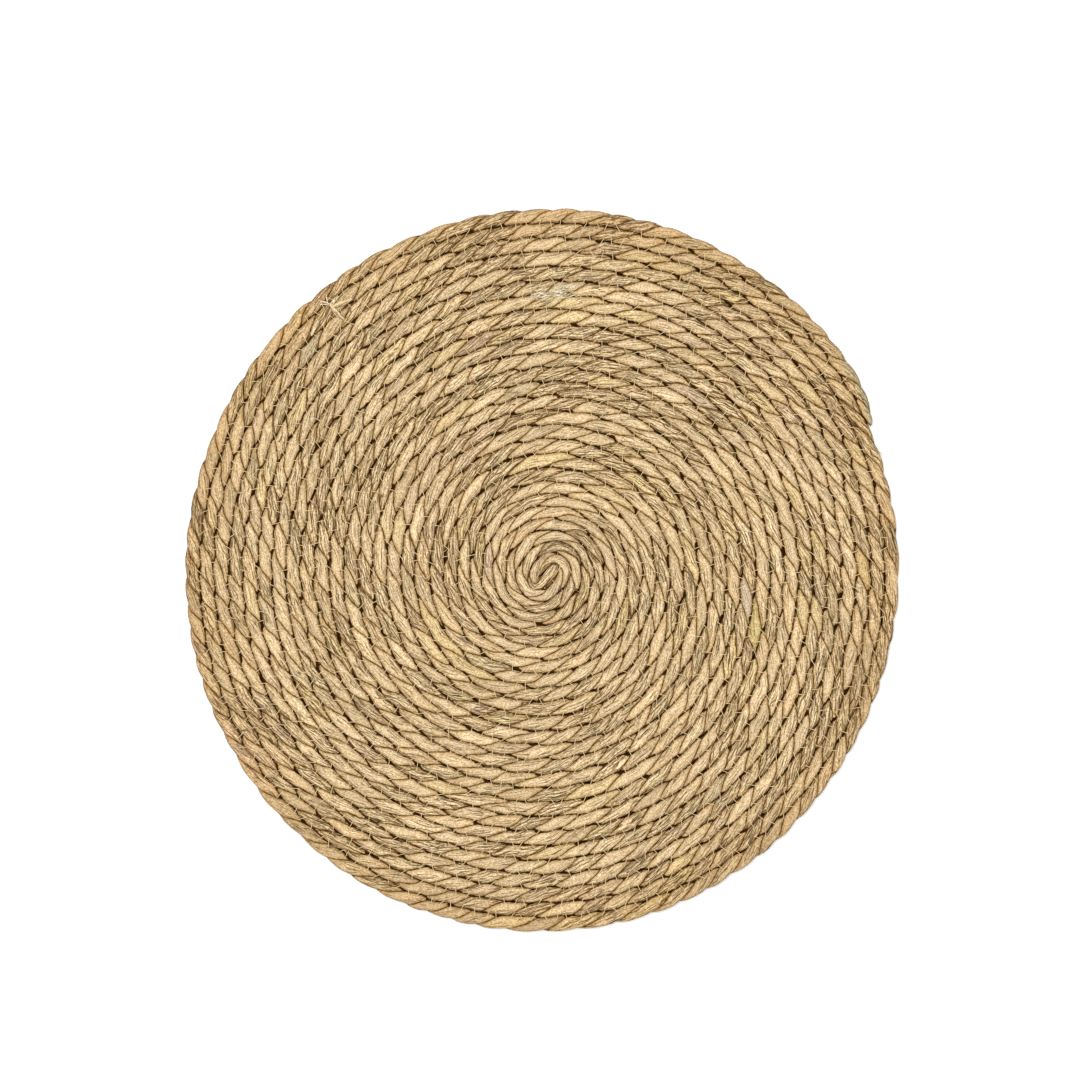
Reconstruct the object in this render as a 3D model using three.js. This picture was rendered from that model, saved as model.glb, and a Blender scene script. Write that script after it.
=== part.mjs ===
// A round placemat: one two-ply cord of twisted plant fibre, coiled flat and sewn turn to turn.
// Millimetres, +Z up. +Y is the top of the mat as it is seen from above.
// The origin is the middle of the mat's outline, on the surface that the mat lies on.

import * as THREE from "three";

// The cord, and how it is coiled. Turns are counted from the middle outwards.
const THICKNESS = 7.0;
const PITCH_MIDDLE = 6.2; // from one turn of cord to the next, in the tight middle
const PITCH_OUTSIDE = 7.58; // the same, over the rest of the mat
const WIDENS_FROM_TURN = 6;
const WIDENS_OVER_TURNS = 3;
const CORD_TURNS = 25.95;
const CORD_END_ANGLE = THREE.MathUtils.degToRad(24.6); // where the cord ends, counterclockwise from +X
const LAY_LENGTH = 31; // along the cord, for one whole twist of its two plies

// The hand-made outline: waves round the mat, as how far they push its rim out.
const UNEVEN = [
  { waves: 1, cosine: -0.3, sine: 0.45 },
  { waves: 2, cosine: -0.3, sine: 1.05 },
  { waves: 3, cosine: -0.1, sine: 0.3 },
];

// The cord's first turn doubles back on itself, so the middle of the coil is an oval.
const OVAL_SHARE = 0.26;
const OVAL_ANGLE = THREE.MathUtils.degToRad(42);
const OVAL_FADES_BY_TURN = 4;

// The section of one turn: two flat lands, above and below, and a groove on each side of them.
const GROOVE_DEPTH = 1.7;
const LAND_SHARE = 0.42;

// The rim, where the twist of the cord shows as scallops, and the cord's cut end.
const SCALLOP_DEPTH = 0.8;
const POINTS_PER_SCALLOP = 4;
const END_TAPER = 2.4;
const END_TAPER_LENGTH = 14;

// How finely the coil is drawn.
const STEP_ALONG_CORD = 17.5;
const LONGEST_STEP_IN_TURNS = 1 / 14;

// Radius of the groove inside the cord at a given turn, before any unevenness.
function grooveRadius(turn) {
  const t = THREE.MathUtils.clamp((turn - WIDENS_FROM_TURN) / WIDENS_OVER_TURNS, 0, 1);
  const widening = WIDENS_OVER_TURNS * (t ** 3 - t ** 4 / 2);
  const afterwards = Math.max(0, turn - WIDENS_FROM_TURN - WIDENS_OVER_TURNS);
  return PITCH_MIDDLE * turn + (PITCH_OUTSIDE - PITCH_MIDDLE) * (widening + afterwards);
}

const RIM_RADIUS = grooveRadius(CORD_TURNS + 0.5);

// The coil runs clockwise from the middle, so the angle falls as the turns grow.
function angleAt(turn) {
  return CORD_END_ANGLE + (CORD_TURNS - turn) * 2 * Math.PI;
}

// A point of the coil, seen from above: at this turn, and this far out from the coil's middle.
function placeAt(turn, radius) {
  const angle = angleAt(turn);
  const push = UNEVEN.reduce(
    (sum, wave) => sum + wave.cosine * Math.cos(wave.waves * angle) + wave.sine * Math.sin(wave.waves * angle),
    0,
  );
  const fade = Math.max(0, 1 - radius / grooveRadius(OVAL_FADES_BY_TURN));
  const oval = 1 + OVAL_SHARE * fade * Math.cos(2 * (angle - OVAL_ANGLE));
  const out = (radius + (push * radius) / RIM_RADIUS) * oval;
  return new THREE.Vector2(out * Math.cos(angle), out * Math.sin(angle));
}

// Turns at which the coil is drawn, from one turn to another, with even steps along the cord.
function marksBetween(from, to) {
  const marks = [from];
  while (marks.at(-1) < to) {
    const turn = marks.at(-1);
    const radius = grooveRadius(turn + 0.5);
    marks.push(turn + Math.min(LONGEST_STEP_IN_TURNS, STEP_ALONG_CORD / (2 * Math.PI * radius)));
  }
  const stretch = (to - from) / (marks.at(-1) - from);
  return marks.map((turn) => from + (turn - from) * stretch);
}

// The rim's points, four to a scallop, from beside the cord's end round to the end itself.
function rimMarks() {
  const scallops = Math.round((2 * Math.PI * RIM_RADIUS) / (LAY_LENGTH / 2));
  const count = scallops * POINTS_PER_SCALLOP;
  return Array.from({ length: count }, (_, i) => {
    const share = (i + 1) / count;
    const swell = Math.abs(Math.sin(((i + 1) / POINTS_PER_SCALLOP) * Math.PI));
    const toEnd = (1 - share) * 2 * Math.PI * RIM_RADIUS;
    const taper = END_TAPER * Math.max(0, 1 - toEnd / END_TAPER_LENGTH) ** 2;
    const turn = CORD_TURNS + share;
    return { turn, radius: grooveRadius(turn) + SCALLOP_DEPTH * (swell - 0.6) - taper };
  });
}

// Builds the mat as one closed surface.
function coiledMat() {
  const positions = [];
  const triangles = [];

  const vertex = (place, z) => positions.push(place.x, place.y, z) / 3 - 1;
  // Corners run counterclockwise as seen from outside the top face, and the other way underneath.
  const triangle = (top, a, b, c) => triangles.push(...(top ? [a, b, c] : [a, c, b]));

  // Joins two lines of points, which lie at these turns, with triangles between them.
  const joinLines = (top, inner, innerTurns, outer, outerTurns) => {
    let i = 0;
    let j = 0;
    while (i < inner.length - 1 || j < outer.length - 1) {
      const innerNext = i + 1 < inner.length ? innerTurns[i + 1] : Infinity;
      const outerNext = j + 1 < outer.length ? outerTurns[j + 1] : Infinity;
      if (innerNext <= outerNext) {
        triangle(top, inner[i], inner[i + 1], outer[j]);
        i += 1;
      } else {
        triangle(top, inner[i], outer[j + 1], outer[j]);
        j += 1;
      }
    }
  };

  const firstTurn = marksBetween(0, 1);
  const turns = [...firstTurn, ...marksBetween(1, CORD_TURNS).slice(1)];
  const rim = rimMarks();
  const rimPoints = rim.map((mark) => vertex(placeAt(mark.turn, mark.radius), THICKNESS / 2));

  // One face of the coil: grooves and the two edges of each land, as lines that follow the cord.
  const coilFace = (top) => {
    const landZ = top ? THICKNESS : 0;
    const grooveZ = top ? THICKNESS - GROOVE_DEPTH : GROOVE_DEPTH;
    const line = (share, z) =>
      turns.map((turn) => {
        const inside = grooveRadius(turn);
        const outside = grooveRadius(turn + 1);
        return vertex(placeAt(turn, inside + share * (outside - inside)), z);
      });
    const groove = line(0, grooveZ);
    const landInside = line((1 - LAND_SHARE) / 2, landZ);
    const landOutside = line((1 + LAND_SHARE) / 2, landZ);

    joinLines(top, groove, turns, landInside, turns);
    joinLines(top, landInside, turns, landOutside, turns);
    const last = firstTurn.length - 1;
    const outerLine = [...groove.slice(last), ...rimPoints];
    const outerTurns = [...turns.slice(last), ...rim.map((mark) => mark.turn)].map((turn) => turn - 1);
    joinLines(top, landOutside, turns, outerLine, outerTurns);

    // Inside the first turn the cord's start is a fan about the middle, up to the start's own face.
    for (let i = 1; i < last; i += 1) triangle(top, groove[0], groove[i + 1], groove[i]);
    triangle(top, groove[0], landInside[0], landOutside[0]);
    triangle(top, groove[0], landOutside[0], groove[last]);

    return { groove: groove.at(-1), inside: landInside.at(-1), outside: landOutside.at(-1) };
  };

  const above = coilFace(true);
  const below = coilFace(false);

  // The cord's cut end, and the wall beside it where the rim begins.
  const end = [above.groove, above.inside, above.outside, rimPoints.at(-1), below.outside, below.inside, below.groove];
  for (let i = 1; i < end.length - 1; i += 1) triangle(false, end[0], end[i], end[i + 1]);
  triangle(false, above.groove, below.groove, rimPoints[0]);

  const geometry = new THREE.BufferGeometry();
  geometry.setAttribute("position", new THREE.Float32BufferAttribute(positions, 3));
  geometry.setIndex(triangles);
  geometry.computeVertexNormals();
  return geometry;
}

const fibre = new THREE.MeshStandardMaterial({ color: 0xc9aa78, roughness: 0.85, metalness: 0 });

const mat = new THREE.Mesh(coiledMat(), fibre);
mat.name = "coiled_mat";

// The coil's middle isn't quite the outline's, so the mat is moved to have its outline about the origin.
mat.geometry.computeBoundingBox();
const middle = mat.geometry.boundingBox.getCenter(new THREE.Vector3());
mat.position.set(-middle.x, -middle.y, 0);

const placemat = new THREE.Group();
placemat.add(mat);

export default placemat;
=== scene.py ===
import math

import bpy
import numpy as np
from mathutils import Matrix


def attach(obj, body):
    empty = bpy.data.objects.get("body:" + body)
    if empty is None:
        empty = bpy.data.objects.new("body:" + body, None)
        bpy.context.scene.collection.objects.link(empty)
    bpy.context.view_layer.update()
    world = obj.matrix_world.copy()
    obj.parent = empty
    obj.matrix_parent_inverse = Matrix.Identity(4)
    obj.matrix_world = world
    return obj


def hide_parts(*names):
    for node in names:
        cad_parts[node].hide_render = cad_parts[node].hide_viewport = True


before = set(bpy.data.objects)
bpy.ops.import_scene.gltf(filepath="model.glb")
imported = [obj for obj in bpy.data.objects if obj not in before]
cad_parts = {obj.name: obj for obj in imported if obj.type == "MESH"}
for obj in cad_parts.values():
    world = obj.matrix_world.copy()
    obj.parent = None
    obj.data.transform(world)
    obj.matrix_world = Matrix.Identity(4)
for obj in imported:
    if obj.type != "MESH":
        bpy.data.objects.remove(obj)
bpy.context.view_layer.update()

# The mat is one two-ply cord, coiled flat. Sizes are in millimetres until a mesh is made of them.
# Turns of the coil are counted from its middle outwards, and it runs clockwise seen from above.
# The values down to OVAL_FADES_BY_TURN are those of the solid.
THICKNESS = 7.0
PITCH_MIDDLE = 6.2  # from one turn to the next, in the tight middle
PITCH_OUTSIDE = 7.58  # the same, over the rest of the mat
WIDENS_FROM_TURN = 6
WIDENS_OVER_TURNS = 3
CORD_TURNS = 25.95
CORD_END_ANGLE = math.radians(24.6)
COIL_MIDDLE = np.array([2.302, -2.040])  # from the middle of the mat's outline
# How the outline waves: waves round the mat, and how far out they push it, as cosine and sine.
UNEVEN = [(1, -0.3, 0.45), (2, -0.3, 1.05), (3, -0.1, 0.3)]
OVAL_SHARE = 0.26
OVAL_ANGLE = math.radians(42)
OVAL_FADES_BY_TURN = 4

# The cord's start, doubled back through the middle of the coil: x, y from the coil's middle.
START_PATH = [(6.2, 5.0), (3.0, 1.2), (-0.4, -2.2), (-3.4, -5.2), (-6.0, -5.9), (-7.1, -3.8), (-6.9, -0.6)]
START_JOINS_TURN = 0.6
START_HALF_WIDTH = 3.1
START_POINTS = 400

# Strands at the heart of the coil, that fill what the cord's start leaves open. Each has its route from
# the coil's middle, half its width, half its height, the height of its middle line at its start, half way
# and at its end, and its colour.
HEART = [
    ([(8.6, 3.6), (5.8, -0.9), (2.0, -5.0), (-2.6, -8.6)], 1.3, 1.4, (3.6, 2.9, 3.8), (140, 108, 66)),
    ([(6.0, 7.0), (1.2, 5.4), (-2.6, 1.6), (-5.6, -3.0)], 1.3, 1.6, (4.2, 4.0, 4.0), (205, 176, 130)),
    ([(3.4, 6.6), (-1.4, 4.6), (-3.6, 0.4), (-8.4, -6.6)], 0.55, 0.5, (6.4, 6.7, 6.2), (222, 196, 150)),
    ([(7.4, 5.8), (7.2, 3.4), (5.6, 0.6)], 0.5, 0.5, (6.2, 6.0, 5.4), (214, 186, 140)),
]

# The tuft where a new length of leaf was joined in, as rows like those of the heart, but from the mat's
# middle. The last row is one stray fibre at the rim.
TUFT = [
    ([(-112.0, 139.2), (-109.8, 142.2), (-107.0, 145.2)], 1.1, 0.5, (7.2, 8.0, 8.2), (250, 230, 190)),
    ([(-110.9, 138.9), (-105.4, 141.0), (-99.2, 143.9)], 1.5, 0.4, (7.2, 7.7, 7.2), (244, 220, 176)),
    ([(-111.2, 139.4), (-108.0, 135.2), (-103.6, 131.8)], 1.4, 0.4, (7.4, 7.6, 7.1), (244, 222, 180)),
    ([(-111.6, 140.4), (-115.6, 141.7), (-120.0, 143.0)], 0.45, 0.25, (7.5, 7.9, 7.3), (252, 228, 200)),
    ([(-111.8, 139.8), (-115.4, 140.3), (-118.9, 139.9)], 0.32, 0.2, (7.4, 7.8, 7.2), (244, 222, 184)),
    ([(-113.2, 141.0), (-113.6, 143.4), (-114.2, 146.2)], 0.32, 0.2, (7.4, 7.7, 7.0), (248, 230, 192)),
    ([(-117.6, 132.6), (-120.0, 128.0), (-122.2, 122.8)], 1.1, 0.3, (7.0, 7.4, 7.0), (240, 214, 176)),
    ([(178.0, 62.6), (179.6, 61.7), (180.6, 60.1)], 0.14, 0.14, (3.4, 3.8, 4.0), (190, 176, 140)),
]

# The frayed place, in two parts: x, y, how far its fibres spread each way, how many, and their colour.
FRAYS = [
    (1.5, 145.6, (4.0, 1.0), 26, (246, 238, 212)),
    (10.5, 145.4, (3.5, 0.8), 12, (246, 238, 212)),
]
LOOSE_FIBRES = 420
LOOSE_FIBRE_COLOUR = (240, 216, 170)
LOOSE_FIBRES_REACH = 182  # from the middle of the mat

# Grains, the long shapes that a ply shows as it crosses the top, that stand out: place from the mat's
# middle, colour, and how wrinkled.
SPOTS = [
    (111.9, -31.6, (218, 203, 128), 0.0),
    (167.5, -3.8, (216, 188, 122), 0.2),
    (136.7, -24.7, (224, 200, 142), 0.0),
    (108.1, -16.1, (213, 201, 188), 0.1),
    (116.9, -0.3, (228, 210, 172), 0.0),
    (9.4, 145.2, (222, 213, 188), 0.1),
    (4.7, 134.9, (226, 204, 156), 0.0),
    (82.3, 95.6, (210, 188, 166), 0.4),
    (-125.2, 120.8, (218, 198, 148), 0.2),
    (-122.8, 116.5, (200, 192, 168), 0.2),
    (-23.3, 1.9, (214, 194, 176), 0.3),
]

# The cord's own make.
LAY = [(0, 33.0), (8, 36.0), (16, 35.0), (24, 31.5)]  # turn, and the length of one whole twist there
FIRST_TWIST = 0.6  # an angle, where the coil begins
TWIST_WANDERS = 0.28  # shares of a whole twist, slowly along the cord
TWIST_FLICKERS = 0.065  # and quickly
PLY_PUSH = 0.75  # how far plies that lie side by side push the groove beside them
MEAN_COSINE = 0.64  # the mean size of a cosine over a whole turn, about 2 / pi
RINGS = 6400
FINE_STEPS = 60000  # for lines that the rings and the stitches are then laid along
# Half a ply's section, from its top to its side: shares of half its arc, and of the cord's radius there.
PLY_HALF = [
    (0, 1.0), (0.19, 1.0), (0.38, 0.993), (0.57, 0.978),
    (0.74, 0.948), (0.87, 0.895), (0.955, 0.80), (0.985, 0.62),
]
PLY_SHARE = [-share for share, _ in PLY_HALF[:0:-1]] + [share for share, _ in PLY_HALF]
PLY_RADIUS = [radius for _, radius in PLY_HALF[:0:-1]] + [radius for _, radius in PLY_HALF]
ROUND_SHARE = 0.85  # of the way that a ply crosses the cord: the rest of it is straight
SQUARED = 2.8  # over 2, the cord's section is squarer than an ellipse
PRESSED = 1.08  # the cord would be this much wider if its neighbours didn't press on it
PRESSED_FROM, PRESSED_OVER = 0.75, 0.2  # shares of half its width, where a neighbour closes the gap
OVERLAP = 0.03  # of half its width, into its neighbour
PROUD = 0.3  # how far the plies may stand over the solid's top
END_LENGTH = 26.0  # over which the cord's outer end gets thin
END_LOSES = (0.60, 0.35)  # shares of its width and of its height
BLUNT_END, BLUNT_START = 3.0, 4.0  # over which the very ends close, outside and in the middle
BLUNT_LOSES = 0.75
FREE_RIM_DEPTH = 0.78  # the mat's free rim isn't a groove, so it is shown as this share of one, in the depth that sets the painted shade
LEAF_LEAN = 0.45  # the leaf's own folds lean less than the plies do
MM_PER_RADIAN = 3.6  # round the cord

# The folds of leaf on the plies.
FOLD_RINGS = 6
FOLD_LENGTH = (11, 23)
FOLD_HALF_WIDTH = (0.55, 1.35)
FOLD_STRAIGHTENS = (0.25, 0.75)  # a fold leans less than its ply by these shares
FOLD_THICKNESS = (0.7, 1.3)  # times the heights of its section
FOLD_SLOT = (0.75, 2.5)  # the place of a slot at 1: across, of a ply's half arc, and back along the cord
FOLD_STRAYS = (0.13, 2.0)  # the spread about that place, in the same way
FOLDS_STOP_SHORT = (12, 8)  # of the cord's start and of its end
FOLD_TUCKS_AT = 0.97  # of a ply's half arc
FOLD_TUCKS_OVER = 0.12
FOLD_DIVES = 0.35  # how much lower it gets there
# A fold's section: across it as a share of its half width, up from the ply, and how near its edge, which
# sets the painted shade along its edges.
FOLD_SECTION = np.array([
    (-1.0, -0.06, 1.0), (-0.6, 0.10, 0.905), (-0.1, 0.20, 0.0), (1.0, 0.16, 0.975), (0.5, -0.30, 1.0),
])

# Leaf colours, as 8-bit, with how often each is met. The others are mixed with the first one.
LEAVES = [
    ((222, 200, 163), 0.44),
    ((236, 216, 180), 0.18),
    ((228, 200, 160), 0.10),
    ((210, 188, 154), 0.10),
    ((216, 190, 164), 0.04),
    ((228, 206, 150), 0.05),
    ((208, 192, 154), 0.03),
    ((214, 186, 144), 0.06),
]
LEAF_VARIETY = 0.38  # the share of its own colour that a grain keeps in the mixture
SPOT_VARIETY = 0.5  # the same, for the grains that stand out
GRAIN_BRIGHTNESS = (1.08, 0.055)  # mean and spread
FOLD_BRIGHTNESS = (1.0, 0.09)  # the same, on top of its grain's
GRAIN_WEAR = (0.9, 1.3)  # the two shapes of a beta distribution
SAME_LEAF = 0.35  # how often a grain has the leaf of the one before it
GRAINS = 1100  # half turns of a ply, with some to spare
OUTSIDE_SHADE = np.array([0.88, 0.82, 0.74])  # the colour of the outermost turns is multiplied by this
SHADE_FROM_TURN = 22
SHADE_OVER_TURNS = 3.5
END_GREEN = (196, 188, 152)  # the cord's outer end is a little greener
END_GREEN_LENGTH = 45

# The sewing.
STITCH = 6.2  # along the groove, from one leg of the sewing to the next
STITCH_STRAYS = 0.22  # of a stitch, either way
STITCH_REACH = 2.5  # to each side of the groove
REACH_VARIES = (0.8, 1.15)
STITCH_SLOPE = 1.3  # how far along the groove half a leg runs
SLOPE_VARIES = (0.35, 1.5)
LEGS_SINK = ([0.0, 0.22, 0.5], [0.6, 0.25, 0.15])  # how much lower legs lie, and how often
THREAD = 0.34
THREAD_SIDES = 4
THREAD_TWIST = 0.55
THREAD_COLOURS = ((244, 222, 172), (228, 200, 146))
# A leg's route: from -1 to 1 across the groove, and its height over the mat's face. Its ends go deep.
LEG_STEPS = np.array([-1.12, -0.9, -0.35, 0.35, 0.9, 1.12])
LEG_HEIGHTS = np.array([-1.7, -0.12, -0.2, -0.2, -0.12, -1.7])
HIDDEN_BY_TURN = (2, 7)  # legs in the middle of the coil are hidden, more of them the further in they are
HIDDEN_DEPTH = 1.5


def srgb(r, g, b):
    """Linear colour of an 8-bit one."""
    v = np.array([r, g, b]) / 255.0
    return np.where(v <= 0.04045, v / 12.92, ((v + 0.055) / 1.055) ** 2.4)


def groove_radius(turn):
    """Radius of the groove inside the cord at a given turn, before any unevenness."""
    t = np.clip((turn - WIDENS_FROM_TURN) / WIDENS_OVER_TURNS, 0, 1)
    widening = WIDENS_OVER_TURNS * (t**3 - t**4 / 2)
    afterwards = np.maximum(0, turn - WIDENS_FROM_TURN - WIDENS_OVER_TURNS)
    return PITCH_MIDDLE * turn + (PITCH_OUTSIDE - PITCH_MIDDLE) * (widening + afterwards)


def wander(s, step, seed):
    """Smooth random values from -1 to 1 along s, with a new one every step."""
    r = np.random.default_rng(seed)
    steps = s / step
    values = r.uniform(-1, 1, int(steps.max()) + 3)
    i = np.floor(steps).astype(int)
    t = steps - i
    t = t * t * (3 - 2 * t)
    return values[i] * (1 - t) + values[i + 1] * t


def along(points):
    """How far along a line of points each one is."""
    return np.concatenate([[0], np.cumsum(np.linalg.norm(np.diff(points, axis=0), axis=1))])


TURNS = np.linspace(0, CORD_TURNS + 1, 40000)
GROOVE_RUN = 2 * math.pi * TURNS[1] * np.cumsum(groove_radius(TURNS))
CORD_RUN = 2 * math.pi * TURNS[1] * np.cumsum(groove_radius(TURNS + 0.5))
LAYS = np.cumsum(np.gradient(CORD_RUN) / np.interp(TURNS, *zip(*LAY)))
LAYS = LAYS + TWIST_WANDERS * wander(CORD_RUN, 90.0, 3) + TWIST_FLICKERS * wander(CORD_RUN, 17.0, 4)
TWISTS = FIRST_TWIST - 2 * math.pi * LAYS


def twist_at(turn):
    """How far the cord is twisted: its plies lie side by side at 0 and at each half turn."""
    return np.interp(turn, TURNS, TWISTS)


def groove_line(turn):
    """Radius of the groove inside the cord at this turn.

    Where plies lie side by side, the cord is wide and pushes the groove over.
    """
    uneven = 0.26 * wander(GROOVE_RUN, 16.0, 1) + 0.14 * wander(GROOVE_RUN, 6.0, 2)
    within = np.where(TURNS > 1, np.abs(np.cos(twist_at(TURNS - 1))) - MEAN_COSINE, 0)
    beyond = np.where(TURNS < CORD_TURNS, np.abs(np.cos(TWISTS)) - MEAN_COSINE, 0)
    moved = np.minimum(1, TURNS / 3) * (uneven + PLY_PUSH * (within - beyond))
    return groove_radius(turn) + np.interp(turn, TURNS, moved)


def angle_at(turn):
    """The coil runs clockwise, so the angle falls as the turns grow."""
    return CORD_END_ANGLE + (CORD_TURNS - turn) * 2 * math.pi


def place_at(turn, radius):
    """A point in plan, from the coil's middle: at this turn, and this far out."""
    angle = angle_at(turn)
    push = sum(c * np.cos(k * angle) + s * np.sin(k * angle) for k, c, s in UNEVEN)
    fade = np.maximum(0, 1 - radius / groove_radius(OVAL_FADES_BY_TURN))
    oval = 1 + OVAL_SHARE * fade * np.cos(2 * (angle - OVAL_ANGLE))
    out = (radius + push * radius / groove_radius(CORD_TURNS + 0.5)) * oval
    return np.stack([out * np.cos(angle), out * np.sin(angle)], axis=-1)


def spline(points, count):
    """Catmull-Rom through the points."""
    p = np.array(points, float)
    p = np.vstack([2 * p[0] - p[1], p, 2 * p[-1] - p[-2]])
    u = np.linspace(0, len(p) - 3, count, endpoint=False)
    i = np.minimum(u.astype(int), len(p) - 4)
    t = (u - i)[:, None]
    a, b, c, d = p[i], p[i + 1], p[i + 2], p[i + 3]
    square, cube = 2 * a - 5 * b + 4 * c - d, 3 * b - a - 3 * c + d
    return 0.5 * (2 * b + (c - a) * t + square * t**2 + cube * t**3)


def cord_route():
    """Middle line of the cord in plan, its turn, half its width, and how far along it is, at each ring."""
    turn = np.linspace(START_JOINS_TURN, CORD_TURNS, FINE_STEPS)
    inside = place_at(turn, groove_line(turn))
    outside = place_at(turn, groove_line(turn + 1))
    middle = (inside + outside) / 2
    half = np.linalg.norm(outside - inside, axis=1) / 2
    start = spline(START_PATH + [tuple(middle[0])], START_POINTS)
    turn = np.concatenate([np.linspace(0, START_JOINS_TURN, START_POINTS, endpoint=False), turn])
    middle = np.vstack([start, middle])
    half = np.concatenate([np.full(START_POINTS, START_HALF_WIDTH), half])
    s = along(middle)
    ring_s = np.linspace(0, s[-1], RINGS)
    line = np.stack([np.interp(ring_s, s, middle[:, k]) for k in (0, 1)], axis=1)
    return line, np.interp(ring_s, s, turn), np.interp(ring_s, s, half), ring_s


def skin(name, tubes):
    """One mesh of closed tubes, from tubes[tube, ring, column] as points in millimetres."""
    count, rings, columns = tubes.shape[:3]
    mesh = bpy.data.meshes.new(name)
    corner = np.arange(count * rings * columns).reshape(count, rings, columns)
    nxt = np.roll(corner, -1, axis=2)
    quads = np.stack([corner[:, :-1], nxt[:, :-1], nxt[:, 1:], corner[:, 1:]], axis=-1).reshape(-1, 4)
    caps = np.concatenate([corner[:, 0, ::-1], corner[:, -1]])
    loops = np.concatenate([quads.ravel(), caps.ravel()])
    starts = np.concatenate([np.arange(len(quads)) * 4, len(quads) * 4 + np.arange(len(caps)) * columns])
    mesh.vertices.add(count * rings * columns)
    mesh.vertices.foreach_set("co", (tubes / 1000).ravel())
    mesh.loops.add(len(loops))
    mesh.loops.foreach_set("vertex_index", loops.astype(np.int32))
    mesh.polygons.add(len(starts))
    mesh.polygons.foreach_set("loop_start", starts.astype(np.int32))
    mesh.polygons.foreach_set("use_smooth", np.ones(len(starts), bool))
    mesh.update(calc_edges=True)

    # Unwrapped in bands: lengths of tube side by side, in one square.
    step = np.linalg.norm(np.diff(tubes.mean(axis=2), axis=1), axis=2).ravel()
    end = np.cumsum(step)
    total = end[-1]
    ring = tubes[0, rings // 2]
    girth = along(np.vstack([ring, ring[:1]]))
    tall = girth[-1] * 1.12
    bands = max(1, int(math.sqrt(total / tall)))
    side = max(total / bands + step.max(), tall * bands) * 1.01
    band = np.minimum((end / total * bands).astype(int), bands - 1)
    u1 = (end - total / bands * band + step.max()) / side
    u0 = u1 - step / side
    v = girth / side
    uv = np.empty((len(step), columns, 4, 2))
    uv[..., 0] = np.stack([u0, u0, u1, u1], axis=-1)[:, None, :]
    corners_v = np.stack([v[:-1], v[1:], v[1:], v[:-1]], axis=-1)
    uv[..., 1] = (band * tall / side)[:, None, None] + corners_v[None]
    flat = np.concatenate([uv.reshape(-1, 2), np.full((caps.size, 2), 0.999)])
    layer = mesh.uv_layers.new(name="OFBake")
    layer.data.foreach_set("uv", flat.ravel())

    obj = bpy.data.objects.new(name, mesh)
    bpy.context.scene.collection.objects.link(obj)
    return obj


def give(obj, name, kind, values):
    """Adds a named value at each corner point, for the material to read."""
    data = obj.data.attributes.new(name, kind, "POINT").data
    key = {"FLOAT": "value", "FLOAT_VECTOR": "vector", "FLOAT_COLOR": "color"}[kind]
    data.foreach_set(key, np.ascontiguousarray(values, np.float32).ravel())


LINE, TURN, HALF, S = cord_route()
TANGENT = np.gradient(LINE, axis=0)
TANGENT /= np.linalg.norm(TANGENT, axis=1)[:, None]
NORMAL = np.stack([-TANGENT[:, 1], TANGENT[:, 0]], axis=1)  # outwards, since the coil runs clockwise
TWIST = twist_at(TURN)


def meeting(k):
    """Where one ply meets the other, as an angle round the cord. It wanders by itself."""
    return TWIST + (k + 0.5) * math.pi + 0.30 * wander(S, 9.0, 5 + k) + 0.08 * wander(S, 3.5, 7 + k)


MEETS = [meeting(0), meeting(1)]
MEETS = [MEETS[1] - 2 * math.pi, MEETS[0], MEETS[1]]
COLOURS = np.array([srgb(*c) for c, _ in LEAVES])
# How full each ply is along the cord.
FULL = [0.97 + 0.05 * wander(S, 8.0, 10 + ply) + 0.03 * wander(S, 3.5, 12 + ply) for ply in (0, 1)]


def at(s, values):
    """Values of the rings, at distances s along the cord."""
    return np.interp(s, S, values)


def grain_colours(ply):
    """One leaf colour for each half turn of the ply, often kept for the next."""
    r = np.random.default_rng(100 + ply)
    picks = r.choice(len(LEAVES), GRAINS, p=[w for _, w in LEAVES])
    keep = r.random(GRAINS) < SAME_LEAF
    for i in range(1, GRAINS):
        if keep[i]:
            picks[i] = picks[i - 1]
    mixed = LEAF_VARIETY * COLOURS[picks] + (1 - LEAF_VARIETY) * COLOURS[0]
    return mixed * r.normal(*GRAIN_BRIGHTNESS, GRAINS)[:, None]


GRAIN_COLOURS = [grain_colours(0), grain_colours(1)]
WRINKLED = np.random.default_rng(120).beta(*GRAIN_WEAR, (2, GRAINS))


def grain(angle):
    """Which half turn of its ply an angle round the cord belongs to."""
    return np.clip((-angle / math.pi).astype(int) + 2, 0, GRAINS - 1)


def colour_grains(spots):
    """Gives a colour to the grains that lie on the top nearest to some places."""
    for x, y, colour, wrinkled in spots:
        best = None
        for ply in (0, 1):
            centre = (MEETS[ply] + MEETS[ply + 1]) / 2
            first, last = np.ceil(centre[-1] / math.pi - 0.5), np.floor(centre[0] / math.pi - 0.5)
            halves = np.arange(first, last)
            upright = halves[halves.astype(int) % 2 == 0] * math.pi + math.pi / 2
            s = np.interp(-upright, -centre, S)
            place_x, place_y = (at(s, LINE[:, k]) + COIL_MIDDLE[k] for k in (0, 1))
            gone = np.hypot(place_x - x, place_y - y)
            nearest = gone.argmin()
            if best is None or gone[nearest] < best[0]:
                best = gone[nearest], ply, grain(upright[nearest])
        _, ply, number = best
        GRAIN_COLOURS[ply][number] = SPOT_VARIETY * srgb(*colour) + (1 - SPOT_VARIETY) * COLOURS[0]
        WRINKLED[ply][number] = wrinkled


def section(angle):
    """A point of the cord's section, across and up, as shares of half its size.

    The angle 0 is outwards and pi/2 is up.
    """
    x = (1 - ROUND_SHARE) * np.arcsin(np.cos(angle)) * 2 / math.pi + ROUND_SHARE * np.cos(angle)
    y = np.sign(np.sin(angle)) * (1 - np.minimum(np.abs(x), 1) ** SQUARED) ** (1 / SQUARED)
    return x * PRESSED, y


colour_grains(SPOTS)


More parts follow.
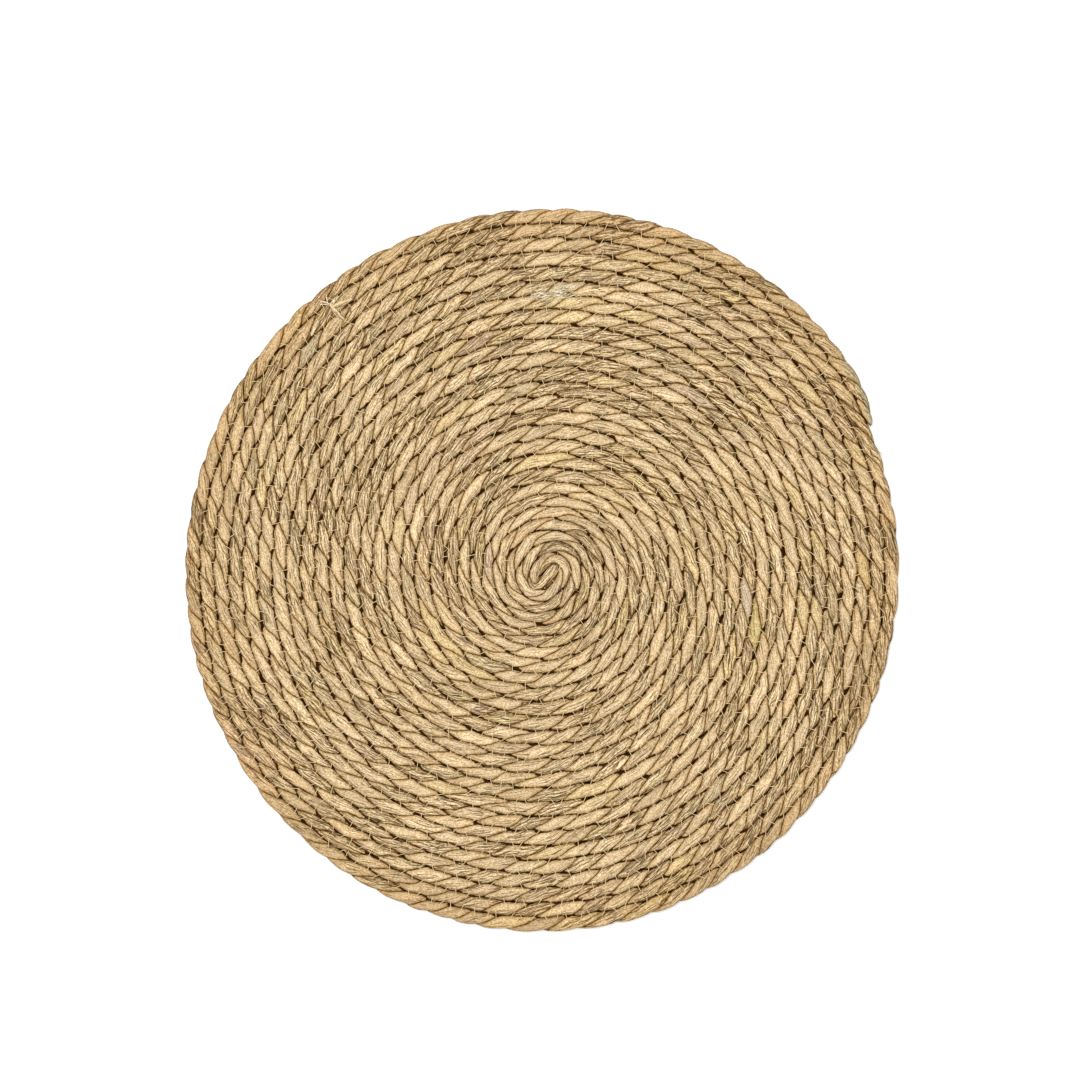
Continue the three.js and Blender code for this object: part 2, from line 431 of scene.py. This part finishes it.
def on_ply(ply, s, share, lift):
    """Points on a ply, at distances s along the cord and shares of its half arc, and this much above it.

    It also gives what the material needs there: the tint with how worn the leaf is, how deep in the
    groove the point is, and its place on the leaf.
    """
    low, high = at(s, MEETS[ply]), at(s, MEETS[ply + 1])
    angle = (low + high) / 2 + share * (high - low) / 2
    radius = np.interp(share, PLY_SHARE, PLY_RADIUS) * at(s, FULL[ply])
    half = at(s, HALF)
    turn = at(s, TURN)
    x, y = section(angle)
    free = (turn > CORD_TURNS - 1) & (x > 0)
    # The next turn of cord closes the gap at a ply's side.
    pressed = np.where(free, 0, np.clip((np.abs(x) - PRESSED_FROM) / PRESSED_OVER, 0, 1))
    a = half * np.clip(x * (radius + (1 - radius) * pressed), -1, 1) * (1 + OVERLAP * pressed)
    b = THICKNESS / 2 * y * radius + lift * y

    # The cord's outer end gets thin, against the turn inside it. Both ends are blunt.
    left = S[-1] - s
    thin = np.clip(1 - left / END_LENGTH, 0, 1) ** 1.6
    a = (a + half) * (1 - END_LOSES[0] * thin) - half
    b = b * (1 - END_LOSES[1] * thin)
    blunt = np.clip(1 - np.minimum(left / BLUNT_END, s / BLUNT_START), 0, 1) ** 2
    core = -half * END_LOSES[0] * thin
    a = core + (a - core) * (1 - BLUNT_LOSES * blunt)
    b = b * (1 - BLUNT_LOSES * blunt)

    place = np.empty((*s.shape, 3))
    for k in (0, 1):
        place[..., k] = at(s, LINE[:, k]) + COIL_MIDDLE[k] + at(s, NORMAL[:, k]) * a
    place[..., 2] = np.clip(THICKNESS / 2 + b, 0.0, THICKNESS + PROUD)

    number = grain(angle)
    tint = GRAIN_COLOURS[ply][number]
    worn = WRINKLED[ply][number]
    outer = np.clip((turn - SHADE_FROM_TURN) / SHADE_OVER_TURNS, 0, 1)[..., None]
    tint = tint * (1 - outer * (1 - OUTSIDE_SHADE))
    green = (np.clip(1 - left / END_GREEN_LENGTH, 0, 1) ** 0.5 * (x > 0))[..., None]
    tint = tint * (1 - green) + srgb(*END_GREEN) * green
    deep = np.abs(x) * np.where(free, FREE_RIM_DEPTH, 1.0)
    # Each ply, and each grain of it, has its own piece of the leaf's pattern.
    across = MM_PER_RADIAN * (angle - LEAF_LEAN * at(s, TWIST)) + 50 * ply
    leaf = np.stack([across, s, 9.0 * ply + 3.7 * (number % 7)], axis=-1)
    return place, np.concatenate([tint, worn[..., None]], axis=-1), deep, leaf


def dress(obj, leaf, tint, edge, deep):
    """Gives a piece of leaf what its material reads."""
    give(obj, "leaf", "FLOAT_VECTOR", leaf)
    give(obj, "tint", "FLOAT_COLOR", np.concatenate([tint[..., :3], np.ones_like(tint[..., :1])], axis=-1))
    give(obj, "worn", "FLOAT", tint[..., 3])
    give(obj, "edge", "FLOAT", np.broadcast_to(edge, deep.shape))
    give(obj, "deep", "FLOAT", deep)


def make_ply(ply):
    """One ply, over the whole length of the cord."""
    share = np.broadcast_to(np.array(PLY_SHARE)[None], (RINGS, len(PLY_SHARE)))
    s = np.broadcast_to(S[:, None], share.shape)
    uneven = np.stack([wander(S, 6.0, 30 + 10 * ply + k) for k in range(len(PLY_SHARE))], axis=1)
    place, tint, deep, leaf = on_ply(ply, s, share, 0.08 * uneven)
    obj = skin(f"cord_ply_{'ab'[ply]}", place[None])
    dress(obj, leaf, tint, np.abs(share), deep)
    return obj


def leaf_folds(face, per_grain):
    """Long pointed folds of leaf that lie on the plies and cross each one slowly, on one face."""
    r = np.random.default_rng(60 + face)
    every = []
    for ply in (0, 1):
        # The ply is upright at the middle of each of its passes over this face. A pass has this many folds
        # side by side, in slots from -1 to 1 over the ply.
        centre = (MEETS[ply] + MEETS[ply + 1]) / 2
        upright = math.pi / 2 if face == 0 else -math.pi / 2
        first = np.ceil((centre[-1] - upright) / (2 * math.pi))
        last = np.floor((centre[0] - upright) / (2 * math.pi))
        passes = np.arange(first, last + 1) * 2 * math.pi + upright
        middle = np.interp(-passes, -centre, S)
        count = len(middle) * per_grain
        slot = np.tile((np.arange(per_grain) + 0.5) / per_grain * 2 - 1, len(middle))
        middle = np.repeat(middle, per_grain)

        # Each fold's length, lean over its ply, place, half width and side. A fold that ran straight along
        # the cord would cross its ply's whole arc, two shares, in half of a twist.
        length = r.uniform(*FOLD_LENGTH, count)
        lean = (1 - r.uniform(*FOLD_STRAIGHTENS, count)) * 4 / LAY[-1][1]
        share0 = slot * FOLD_SLOT[0] + r.normal(0, FOLD_STRAYS[0], count)
        s0 = middle - slot * FOLD_SLOT[1] + r.normal(0, FOLD_STRAYS[1], count)
        width = r.uniform(*FOLD_HALF_WIDTH, count)
        flip = np.where(r.random(count) < 0.5, 1.0, -1.0)
        t = np.linspace(0, 1, FOLD_RINGS)[None, :, None]
        taper = np.sin(math.pi * np.clip(t, 0.02, 0.98)) ** 0.75
        across = FOLD_SECTION[None, None, :, 0] * width[:, None, None] * taper * flip[:, None, None]
        thickness = r.uniform(*FOLD_THICKNESS, count)[:, None, None]
        lift = FOLD_SECTION[None, None, :, 1] * np.clip(taper * 1.3, 0, 1) * thickness
        s = s0[:, None, None] + (t - 0.5) * length[:, None, None] + 0 * across
        share = share0[:, None, None] + lean[:, None, None] * (s - s0[:, None, None])
        share = share + across / (THICKNESS / 2 * math.pi / 2)
        keep = (s[:, 0, 0] > FOLDS_STOP_SHORT[0]) & (s[:, -1, 0] < S[-1] - FOLDS_STOP_SHORT[1])
        s, share, lift, flip = s[keep], share[keep], lift[keep], flip[keep]
        # It dives in where it meets the other ply.
        tucked = np.clip((FOLD_TUCKS_AT - np.abs(share)) / FOLD_TUCKS_OVER, -1.5, 1)
        share = np.clip(share, -FOLD_TUCKS_AT, FOLD_TUCKS_AT)
        place, tint, deep, leaf = on_ply(ply, s, share, lift - FOLD_DIVES * (1 - tucked))

        # Each fold has its own brightness and its own piece of the leaf's pattern.
        count = len(s)
        bright = np.repeat(r.normal(*FOLD_BRIGHTNESS, (count, 1)), 3, axis=1)
        tint = tint * np.concatenate([bright, np.ones((count, 1))], axis=1)[:, None, None]
        moved = np.stack([r.uniform(0, 90, count), r.uniform(0, 90, count), np.zeros(count)], axis=-1)
        leaf = leaf + moved[:, None, None]

        # A fold turned the other way has its corners in the other order, so that it still faces outwards.
        edge = np.broadcast_to(FOLD_SECTION[None, None, :, 2], s.shape)
        corners = np.arange(len(FOLD_SECTION))[None]
        order = np.where(flip[:, None] < 0, corners[:, ::-1], corners)[:, None, :]
        order = np.broadcast_to(order, s.shape)
        every.append([np.take_along_axis(values, order[..., None] if values.ndim == 4 else order, 2)
                      for values in (place, leaf, tint, edge, deep)])
    place, leaf, tint, edge, deep = (np.concatenate(values) for values in zip(*every))
    obj = skin(f"leaf_folds_{('top', 'underside')[face]}", place)
    dress(obj, leaf, tint, edge, deep)
    return obj


def sewing(face):
    """The sewing thread on one face: steep legs over each groove, this way and that, hidden between them."""
    turn = np.linspace(1.0, CORD_TURNS - 0.004, FINE_STEPS)
    line = place_at(turn, groove_line(turn))
    s = along(line)
    legs = int((s[-1] - 10) / STITCH)
    r = np.random.default_rng(40 + face)
    middle = (np.arange(legs) + 0.8 + r.uniform(-STITCH_STRAYS, STITCH_STRAYS, legs)) * STITCH
    way = np.where(np.arange(legs) % 2 == 0, 1.0, -1.0)
    reach = STITCH_REACH * r.uniform(*REACH_VARIES, (legs, 2))
    slope = STITCH_SLOPE * r.uniform(*SLOPE_VARIES, legs)
    sunk = r.choice(LEGS_SINK[0], legs, p=LEGS_SINK[1])
    across = way[:, None] * np.where(LEG_STEPS < 0, LEG_STEPS * reach[:, :1], LEG_STEPS * reach[:, 1:])
    where = np.clip(middle[:, None] + LEG_STEPS * slope[:, None], 0, s[-1] - 0.01).ravel()
    tangent = np.gradient(line, axis=0)
    tangent /= np.linalg.norm(tangent, axis=1)[:, None]
    normal = np.stack([-tangent[:, 1], tangent[:, 0]], axis=1)
    place = np.stack([np.interp(where, s, line[:, k]) + np.interp(where, s, normal[:, k]) * across.ravel()
                      for k in (0, 1)], axis=1) + COIL_MIDDLE
    z = THICKNESS + (LEG_HEIGHTS[None] - sunk[:, None]).ravel()
    hidden = np.interp(middle, s, turn) < r.uniform(*HIDDEN_BY_TURN, legs)
    z -= np.repeat(hidden, len(LEG_STEPS)) * HIDDEN_DEPTH
    if face == 1:
        z = THICKNESS - z
    points = np.concatenate([place, z[:, None]], axis=1)

    # One closed tube along all the legs.
    ahead = np.gradient(points, axis=0)
    ahead /= np.linalg.norm(ahead, axis=1)[:, None]
    flat = np.stack([-ahead[:, 1], ahead[:, 0], np.zeros(len(ahead))], axis=1)
    flat /= np.linalg.norm(flat, axis=1)[:, None]
    up = np.cross(ahead, flat)
    round_ = np.arange(THREAD_SIDES) * 2 * math.pi / THREAD_SIDES
    ring = flat[:, None, :] * np.cos(round_)[None, :, None] + up[:, None, :] * np.sin(round_)[None, :, None]
    tube = points[:, None, :] + ring * THREAD / 2
    obj = skin(f"sewing_thread_{('top', 'underside')[face]}", tube[None])
    give(obj, "run", "FLOAT", np.repeat(along(points)[:, None], THREAD_SIDES, axis=1))
    return obj


def strands(name, rows):
    """Single strands of leaf, as closed tubes, from rows like those of the heart."""
    count, sides = 12, 6
    worn = 0.3
    every, tints = [], []
    for route, half_width, half_height, heights, colour in rows:
        line = spline(route, count)
        ahead = np.gradient(line, axis=0)
        ahead /= np.linalg.norm(ahead, axis=1)[:, None]
        side = np.stack([-ahead[:, 1], ahead[:, 0]], axis=1)
        t = np.linspace(0, 1, count)
        thin = 0.25 + 0.75 * np.sin(math.pi * np.clip(t, 0.06, 0.94)) ** 0.5
        turn = np.arange(sides) * 2 * math.pi / sides
        ring = np.empty((count, sides, 3))
        across = np.cos(turn)[None, :] * (half_width * thin)[:, None]
        ring[..., :2] = line[:, None] + side[:, None] * across[..., None]
        ring[..., 2] = (np.interp(t, [0, 0.5, 1], heights)[:, None]
                        + np.sin(turn)[None, :] * (half_height * thin)[:, None])
        every.append(ring)
        tints.append(np.broadcast_to([*srgb(*colour), worn], (*ring.shape[:2], 4)))
    place, tint = np.stack(every), np.stack(tints)
    obj = skin(name, place)
    number = np.arange(len(rows))[:, None, None]
    around = np.arange(sides) * np.array([row[1] for row in rows])[:, None, None] + 0 * place[..., 0]
    run = np.stack([np.repeat(along(middle)[:, None], sides, axis=1) for middle in place.mean(axis=2)])
    # Each strand has its own piece of the leaf's pattern.
    leaf = np.stack([around + 3.3 * number, run, 7.0 * number + 0 * around], axis=-1)
    edge = np.where(np.arange(sides) % (sides // 2) == 0, 0.5, 0.0)
    dress(obj, leaf, tint, edge, np.zeros(around.shape))
    return obj


def frayed():
    """Fibres that have come up from the leaf, in the pale frayed place and singly all over the top."""
    r = np.random.default_rng(90)
    rows = []

    def fibre(x, y, way, length, half_width, colour):
        bend = r.normal(0, 0.12 * length)
        middle = np.array([x, y])
        step = np.array([math.cos(way), math.sin(way)]) * length / 2
        bent = (x - bend * math.sin(way), y + bend * math.cos(way))
        route = [middle - step, bent, middle + step]
        rows.append((route, half_width, min(half_width, 0.2), (6.4, 7.0, 6.4), colour))

    for x, y, spread, count, colour in FRAYS:
        for _ in range(count):
            fibre(x + r.normal(0, spread[0]), y + r.normal(0, spread[1]),
                  r.normal(0.15, 0.25), r.uniform(3, 8), r.uniform(0.12, 0.3), colour)
    for _ in range(LOOSE_FIBRES):
        out, round_ = LOOSE_FIBRES_REACH * math.sqrt(r.uniform(0.002, 1)), r.uniform(0, 2 * math.pi)
        fibre(out * math.cos(round_), out * math.sin(round_), round_ - math.pi / 2 + r.normal(0, 0.6),
              r.uniform(3, 9), r.uniform(0.08, 0.16), LOOSE_FIBRE_COLOUR)
    return rows


class Nodes:
    """A short way to write a node tree."""

    def __init__(self, name):
        self.material = bpy.data.materials.new(name)
        self.material.use_nodes = True
        self.tree = self.material.node_tree
        self.tree.nodes.clear()

    def add(self, kind, inputs=None, **settings):
        node = self.tree.nodes.new(kind)
        for key, value in settings.items():
            setattr(node, key, value)
        for key, value in (inputs or {}).items():
            if isinstance(value, bpy.types.NodeSocket):
                self.tree.links.new(value, node.inputs[key])
            else:
                node.inputs[key].default_value = value
        return node

    # Every number below may also be a socket of another node.
    def math(self, operation, a, b=0.0):
        return self.add("ShaderNodeMath", {0: a, 1: b}, operation=operation).outputs[0]

    def times(self, a, b):
        return self.math("MULTIPLY", a, b)

    def plus(self, a, b):
        return self.math("ADD", a, b)

    def ramp(self, value, low, high, to_low=0.0, to_high=1.0):
        node = self.add("ShaderNodeMapRange", {"Value": value, "From Min": low, "From Max": high,
                                               "To Min": to_low, "To Max": to_high},
                        interpolation_type="SMOOTHSTEP")
        return node.outputs["Result"]

    def attribute(self, name, output="Fac"):
        return self.add("ShaderNodeAttribute", attribute_name=name).outputs[output]

    def shade(self, share, colour, by):
        """The colour, multiplied by another one where the share is 1."""
        return self.mix(share, colour, by, "MULTIPLY")

    def mix(self, factor, a, b, blend="MIX"):
        node = self.tree.nodes.new("ShaderNodeMix")
        node.data_type = "RGBA"
        node.blend_type = blend
        for key, value in (("Factor", factor), ("A", a), ("B", b)):
            socket = next(i for i in node.inputs if i.name == key and i.enabled)
            if isinstance(value, bpy.types.NodeSocket):
                self.tree.links.new(value, socket)
            elif key == "Factor":
                socket.default_value = value
            else:
                socket.default_value = (*value, 1.0)
        return next(o for o in node.outputs if o.enabled)

    def noise(self, vector, scale=1.0, detail=1.0, rough=0.5):
        node = self.add("ShaderNodeTexNoise", {"Vector": vector, "Scale": scale, "Detail": detail,
                                               "Roughness": rough})
        return node.outputs["Fac"]

    def stretched(self, vector, x, y, z=1.0):
        return self.add("ShaderNodeVectorMath", {0: vector, 1: (x, y, z)}, operation="MULTIPLY").outputs[0]


def leaf_creases(n, leaf, worn):
    """Folds of the leaf: three sets of lines that cross at a shallow angle and leave long pointed strands.

    Gives how near a crease is, and the height of the pleats between creases. Leaf places are in
    millimetres, X across it and Y along it.
    """
    split = n.add("ShaderNodeSeparateXYZ", {"Vector": leaf}).outputs
    across, run = split["X"], split["Y"]

    def slow_noise(scale_across, scale_run, z):
        place = {"X": n.times(across, scale_across), "Y": n.times(run, scale_run), "Z": z}
        return n.noise(n.add("ShaderNodeCombineXYZ", place).outputs[0])

    crease, pleats = None, None
    # A pleat's width, how much the set leans, how it waves, its place in the noise, and its strength.
    for width, lean, wave, where, amount in ((2.6, 0.0, 3.0, 0.0, 1.0), (3.1, 0.13, 2.6, 31.0, 1.0),
                                             (1.6, -0.10, 2.4, 67.0, 0.6)):
        slant = n.plus(n.times(run, lean / width), n.times(across, 1 / width))
        line = n.plus(slant, n.times(slow_noise(0.16, 0.075, where), wave))
        pleat = n.times(n.math("PINGPONG", line, 0.5), 2.0)
        shown = n.plus(slow_noise(0.4, 0.07, where + 9), n.times(n.math("SUBTRACT", worn, 0.5), 0.36))
        shown = n.times(n.ramp(shown, 0.455, 0.60), amount)
        sharp = n.times(n.ramp(pleat, 0.0, 0.80 / width, 1.0, 0.0), shown)
        swell = n.times(n.math("POWER", pleat, 0.5), shown)
        crease = sharp if crease is None else n.math("MAXIMUM", crease, sharp)
        pleats = swell if pleats is None else n.plus(pleats, swell)
    return crease, pleats


def cord_material():
    """Dried leaf, from what each piece of it was given by dress."""
    n = Nodes("dried_leaf_cord")
    leaf = n.attribute("leaf", "Vector")
    tint = n.attribute("tint", "Color")
    edge, deep, worn = n.attribute("edge"), n.attribute("deep"), n.attribute("worn")
    crease, pleats = leaf_creases(n, leaf, worn)

    fibre = n.noise(n.stretched(leaf, 2.2, 0.20), detail=3.0, rough=0.6)
    wrinkle = n.noise(n.stretched(leaf, 1.6, 0.95), detail=2.0, rough=0.8)
    ragged = n.noise(n.stretched(leaf, 0.9, 0.35), detail=2.0, rough=0.6)
    blotch = n.noise(n.stretched(leaf, 0.30, 0.12), detail=3.0, rough=0.55)
    patch = n.noise(n.stretched(leaf, 0.25, 0.16, 3.0))
    speck = n.ramp(n.noise(n.stretched(leaf, 3.4, 0.9)), 0.62, 0.70)

    colour = n.shade(n.ramp(blotch, 0.3, 0.7, 0.0, 0.30), tint, (0.82, 0.78, 0.71))
    colour = n.shade(n.ramp(fibre, 0.42, 0.75, 0.0, 0.30), colour, (0.66, 0.60, 0.50))
    colour = n.shade(n.ramp(wrinkle, 0.39, 0.62, 0.0, 0.95), colour, (0.55, 0.48, 0.38))
    colour = n.shade(worn, colour, (1.15, 1.15, 1.12))  # worn leaf is paler between its many creases
    # Painted shade: the leaf is painted near black-brown along its creases, where the fold valleys would lie
    # in shadow.
    colour = n.shade(n.times(crease, 0.95), colour, (0.13, 0.075, 0.016))
    colour = n.shade(n.times(speck, 0.6), colour, (0.32, 0.20, 0.10))

    # Painted shade: towards its sides each ply is painted darker and browner. Beside it a dark line is
    # painted as shade, and it is painted black where the plies meet at the groove, as the shadow in the gap.
    side = n.math("MAXIMUM", n.ramp(deep, 0.50, 0.95), n.ramp(edge, 0.55, 0.97))
    colour = n.shade(n.times(side, 0.85), colour, (0.66, 0.56, 0.42))
    unsteady = n.times(n.math("SUBTRACT", ragged, 0.5), 0.12)
    faint = n.ramp(patch, 0.38, 0.62, 0.80, 1.0)
    # Painted shade: a near-black line along each ply's and fold's edge and deep in the groove, unsteady, and
    # fainter in patches.
    line = n.math("MAXIMUM", n.ramp(n.plus(edge, unsteady), 0.905, 0.965, 0.0, 0.80),
                  n.ramp(n.plus(deep, unsteady), 0.885, 0.965))
    colour = n.mix(n.times(line, faint), colour, (0.070, 0.031, 0.004))
    # Painted shadow: where the plies meet deep in the groove, the gap is painted near black in patches.
    both = n.plus(deep, n.times(n.ramp(edge, 0.40, 0.92), 0.14))
    slit_shadow = n.plus(both, n.times(n.math("SUBTRACT", patch, 0.5), 0.70))
    colour = n.mix(n.ramp(slit_shadow, 0.955, 1.045), colour, (0.034, 0.012, 0.001))

    relief = n.math("SUBTRACT", n.times(pleats, 0.6), n.times(crease, 0.5))
    relief = n.plus(relief, n.times(fibre, 0.35))
    relief = n.plus(relief, n.times(wrinkle, 0.35))
    bump = n.add("ShaderNodeBump", {"Strength": 1.0, "Distance": 0.0005, "Height": relief})
    rough = n.ramp(fibre, 0.2, 0.8, 0.62, 0.85)
    shader = n.add("ShaderNodeBsdfPrincipled", {"Base Color": colour, "Roughness": rough,
                                                "Normal": bump.outputs["Normal"]})
    shader.inputs["Specular IOR Level"].default_value = 0.0
    n.add("ShaderNodeOutputMaterial", {"Surface": shader.outputs["BSDF"]})
    return n.material


def thread_material():
    """Pale thread with a fine twist, from how far along it a point is."""
    n = Nodes("sewing_thread")
    run = n.attribute("run")
    place = n.add("ShaderNodeTexCoord").outputs["Object"]
    twist = n.math("SINE", n.times(run, 2 * math.pi / THREAD_TWIST))
    wear = n.noise(place, scale=400.0, detail=2.0)
    colour = n.mix(n.ramp(wear, 0.3, 0.7), *(tuple(srgb(*c)) for c in THREAD_COLOURS))
    colour = n.shade(n.ramp(twist, -1.0, 1.0, 0.0, 0.35), colour, (0.62, 0.54, 0.42))
    bump = n.add("ShaderNodeBump", {"Strength": 0.8, "Distance": 0.00006, "Height": twist})
    shader = n.add("ShaderNodeBsdfPrincipled", {"Base Color": colour, "Normal": bump.outputs["Normal"]})
    shader.inputs["Roughness"].default_value = 0.8
    n.add("ShaderNodeOutputMaterial", {"Surface": shader.outputs["BSDF"]})
    return n.material


# The pieces. All of them are the one flat mat.
leaf_look = cord_material()
plies = [make_ply(0), make_ply(1)]
folds = [leaf_folds(0, 3), leaf_folds(1, 2)]
extras = [
    strands("heart_strands", [([COIL_MIDDLE + point for point in route], *rest) for route, *rest in HEART]),
    strands("tuft", TUFT),
    strands("frayed_leaf", frayed()),
]
for piece in plies + folds + extras:
    piece.data.materials.append(leaf_look)
    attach(piece, "root")
thread_look = thread_material()
threads = [sewing(0), sewing(1)]
for piece in threads:
    piece.data.materials.append(thread_look)
    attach(piece, "root")
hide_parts("coiled_mat")
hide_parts("coiled_mat")

# The floor, the light and the camera, in metres from here on.
PHOTO_PX = 1080
MAT_ACROSS_PX = 719.6
MAT_ACROSS = 0.380
MAT_MIDDLE_PX = (542, 570)
CAMERA_HEIGHT = 2.2
SENSOR_MM = 36
FLOOR_REACH = 4
FLOOR_GAP = 0.0001  # so that the floor doesn't share a plane with the mat's lowest points
LIGHT_ACROSS = 1.2

ground = bpy.data.meshes.new("floor")
corners = [(x * FLOOR_REACH, y * FLOOR_REACH, 0) for x, y in ((-1, -1), (1, -1), (1, 1), (-1, 1))]
ground.from_pydata(corners, [], [(0, 1, 2, 3)])
floor = bpy.data.objects.new("floor", ground)
floor.location.z = -FLOOR_GAP
bpy.context.scene.collection.objects.link(floor)
n = Nodes("pale_floor")
shader = n.add("ShaderNodeBsdfPrincipled")
shader.inputs["Base Color"].default_value = (0.93, 0.93, 0.93, 1)
shader.inputs["Roughness"].default_value = 0.9
n.add("ShaderNodeOutputMaterial", {"Surface": shader.outputs["BSDF"]})
ground.materials.append(n.material)


def soft_light(name, position, power):
    """A square lamp that faces the middle of the mat."""
    data = bpy.data.lights.new(name, "AREA")
    data.shape = "SQUARE"
    data.size = LIGHT_ACROSS
    data.energy = power
    light = bpy.data.objects.new(name, data)
    bpy.context.scene.collection.objects.link(light)
    light.location = position
    x, y, z = position
    light.rotation_euler = (math.atan2(math.hypot(x, y), z), 0, math.atan2(y, x) + math.pi / 2)


soft_light("key", (-0.35, 0.4, 2.4), 51.5)
soft_light("fill", (0.5, -0.5, 2.4), 21.5)
world = bpy.data.worlds.new("world")
world.use_nodes = True
background = world.node_tree.nodes["Background"].inputs
background["Color"].default_value = (1, 1, 1, 1)
background["Strength"].default_value = 0.42
scene = bpy.context.scene
scene.world = world
scene.view_settings.view_transform = "Standard"

# The camera looks straight down, and the lens makes the mat's top as large as it is in the photo.
camera_data = bpy.data.cameras.new("camera")
camera = bpy.data.objects.new("camera", camera_data)
scene.collection.objects.link(camera)
metres_per_px = MAT_ACROSS / MAT_ACROSS_PX
camera.location = (
    (PHOTO_PX / 2 - MAT_MIDDLE_PX[0]) * metres_per_px,
    (MAT_MIDDLE_PX[1] - PHOTO_PX / 2) * metres_per_px,
    CAMERA_HEIGHT,
)
camera_data.sensor_width = SENSOR_MM
camera_data.lens = SENSOR_MM * (CAMERA_HEIGHT - THICKNESS / 1000) / (PHOTO_PX * metres_per_px)
camera_data.clip_end = 20
scene.camera = camera
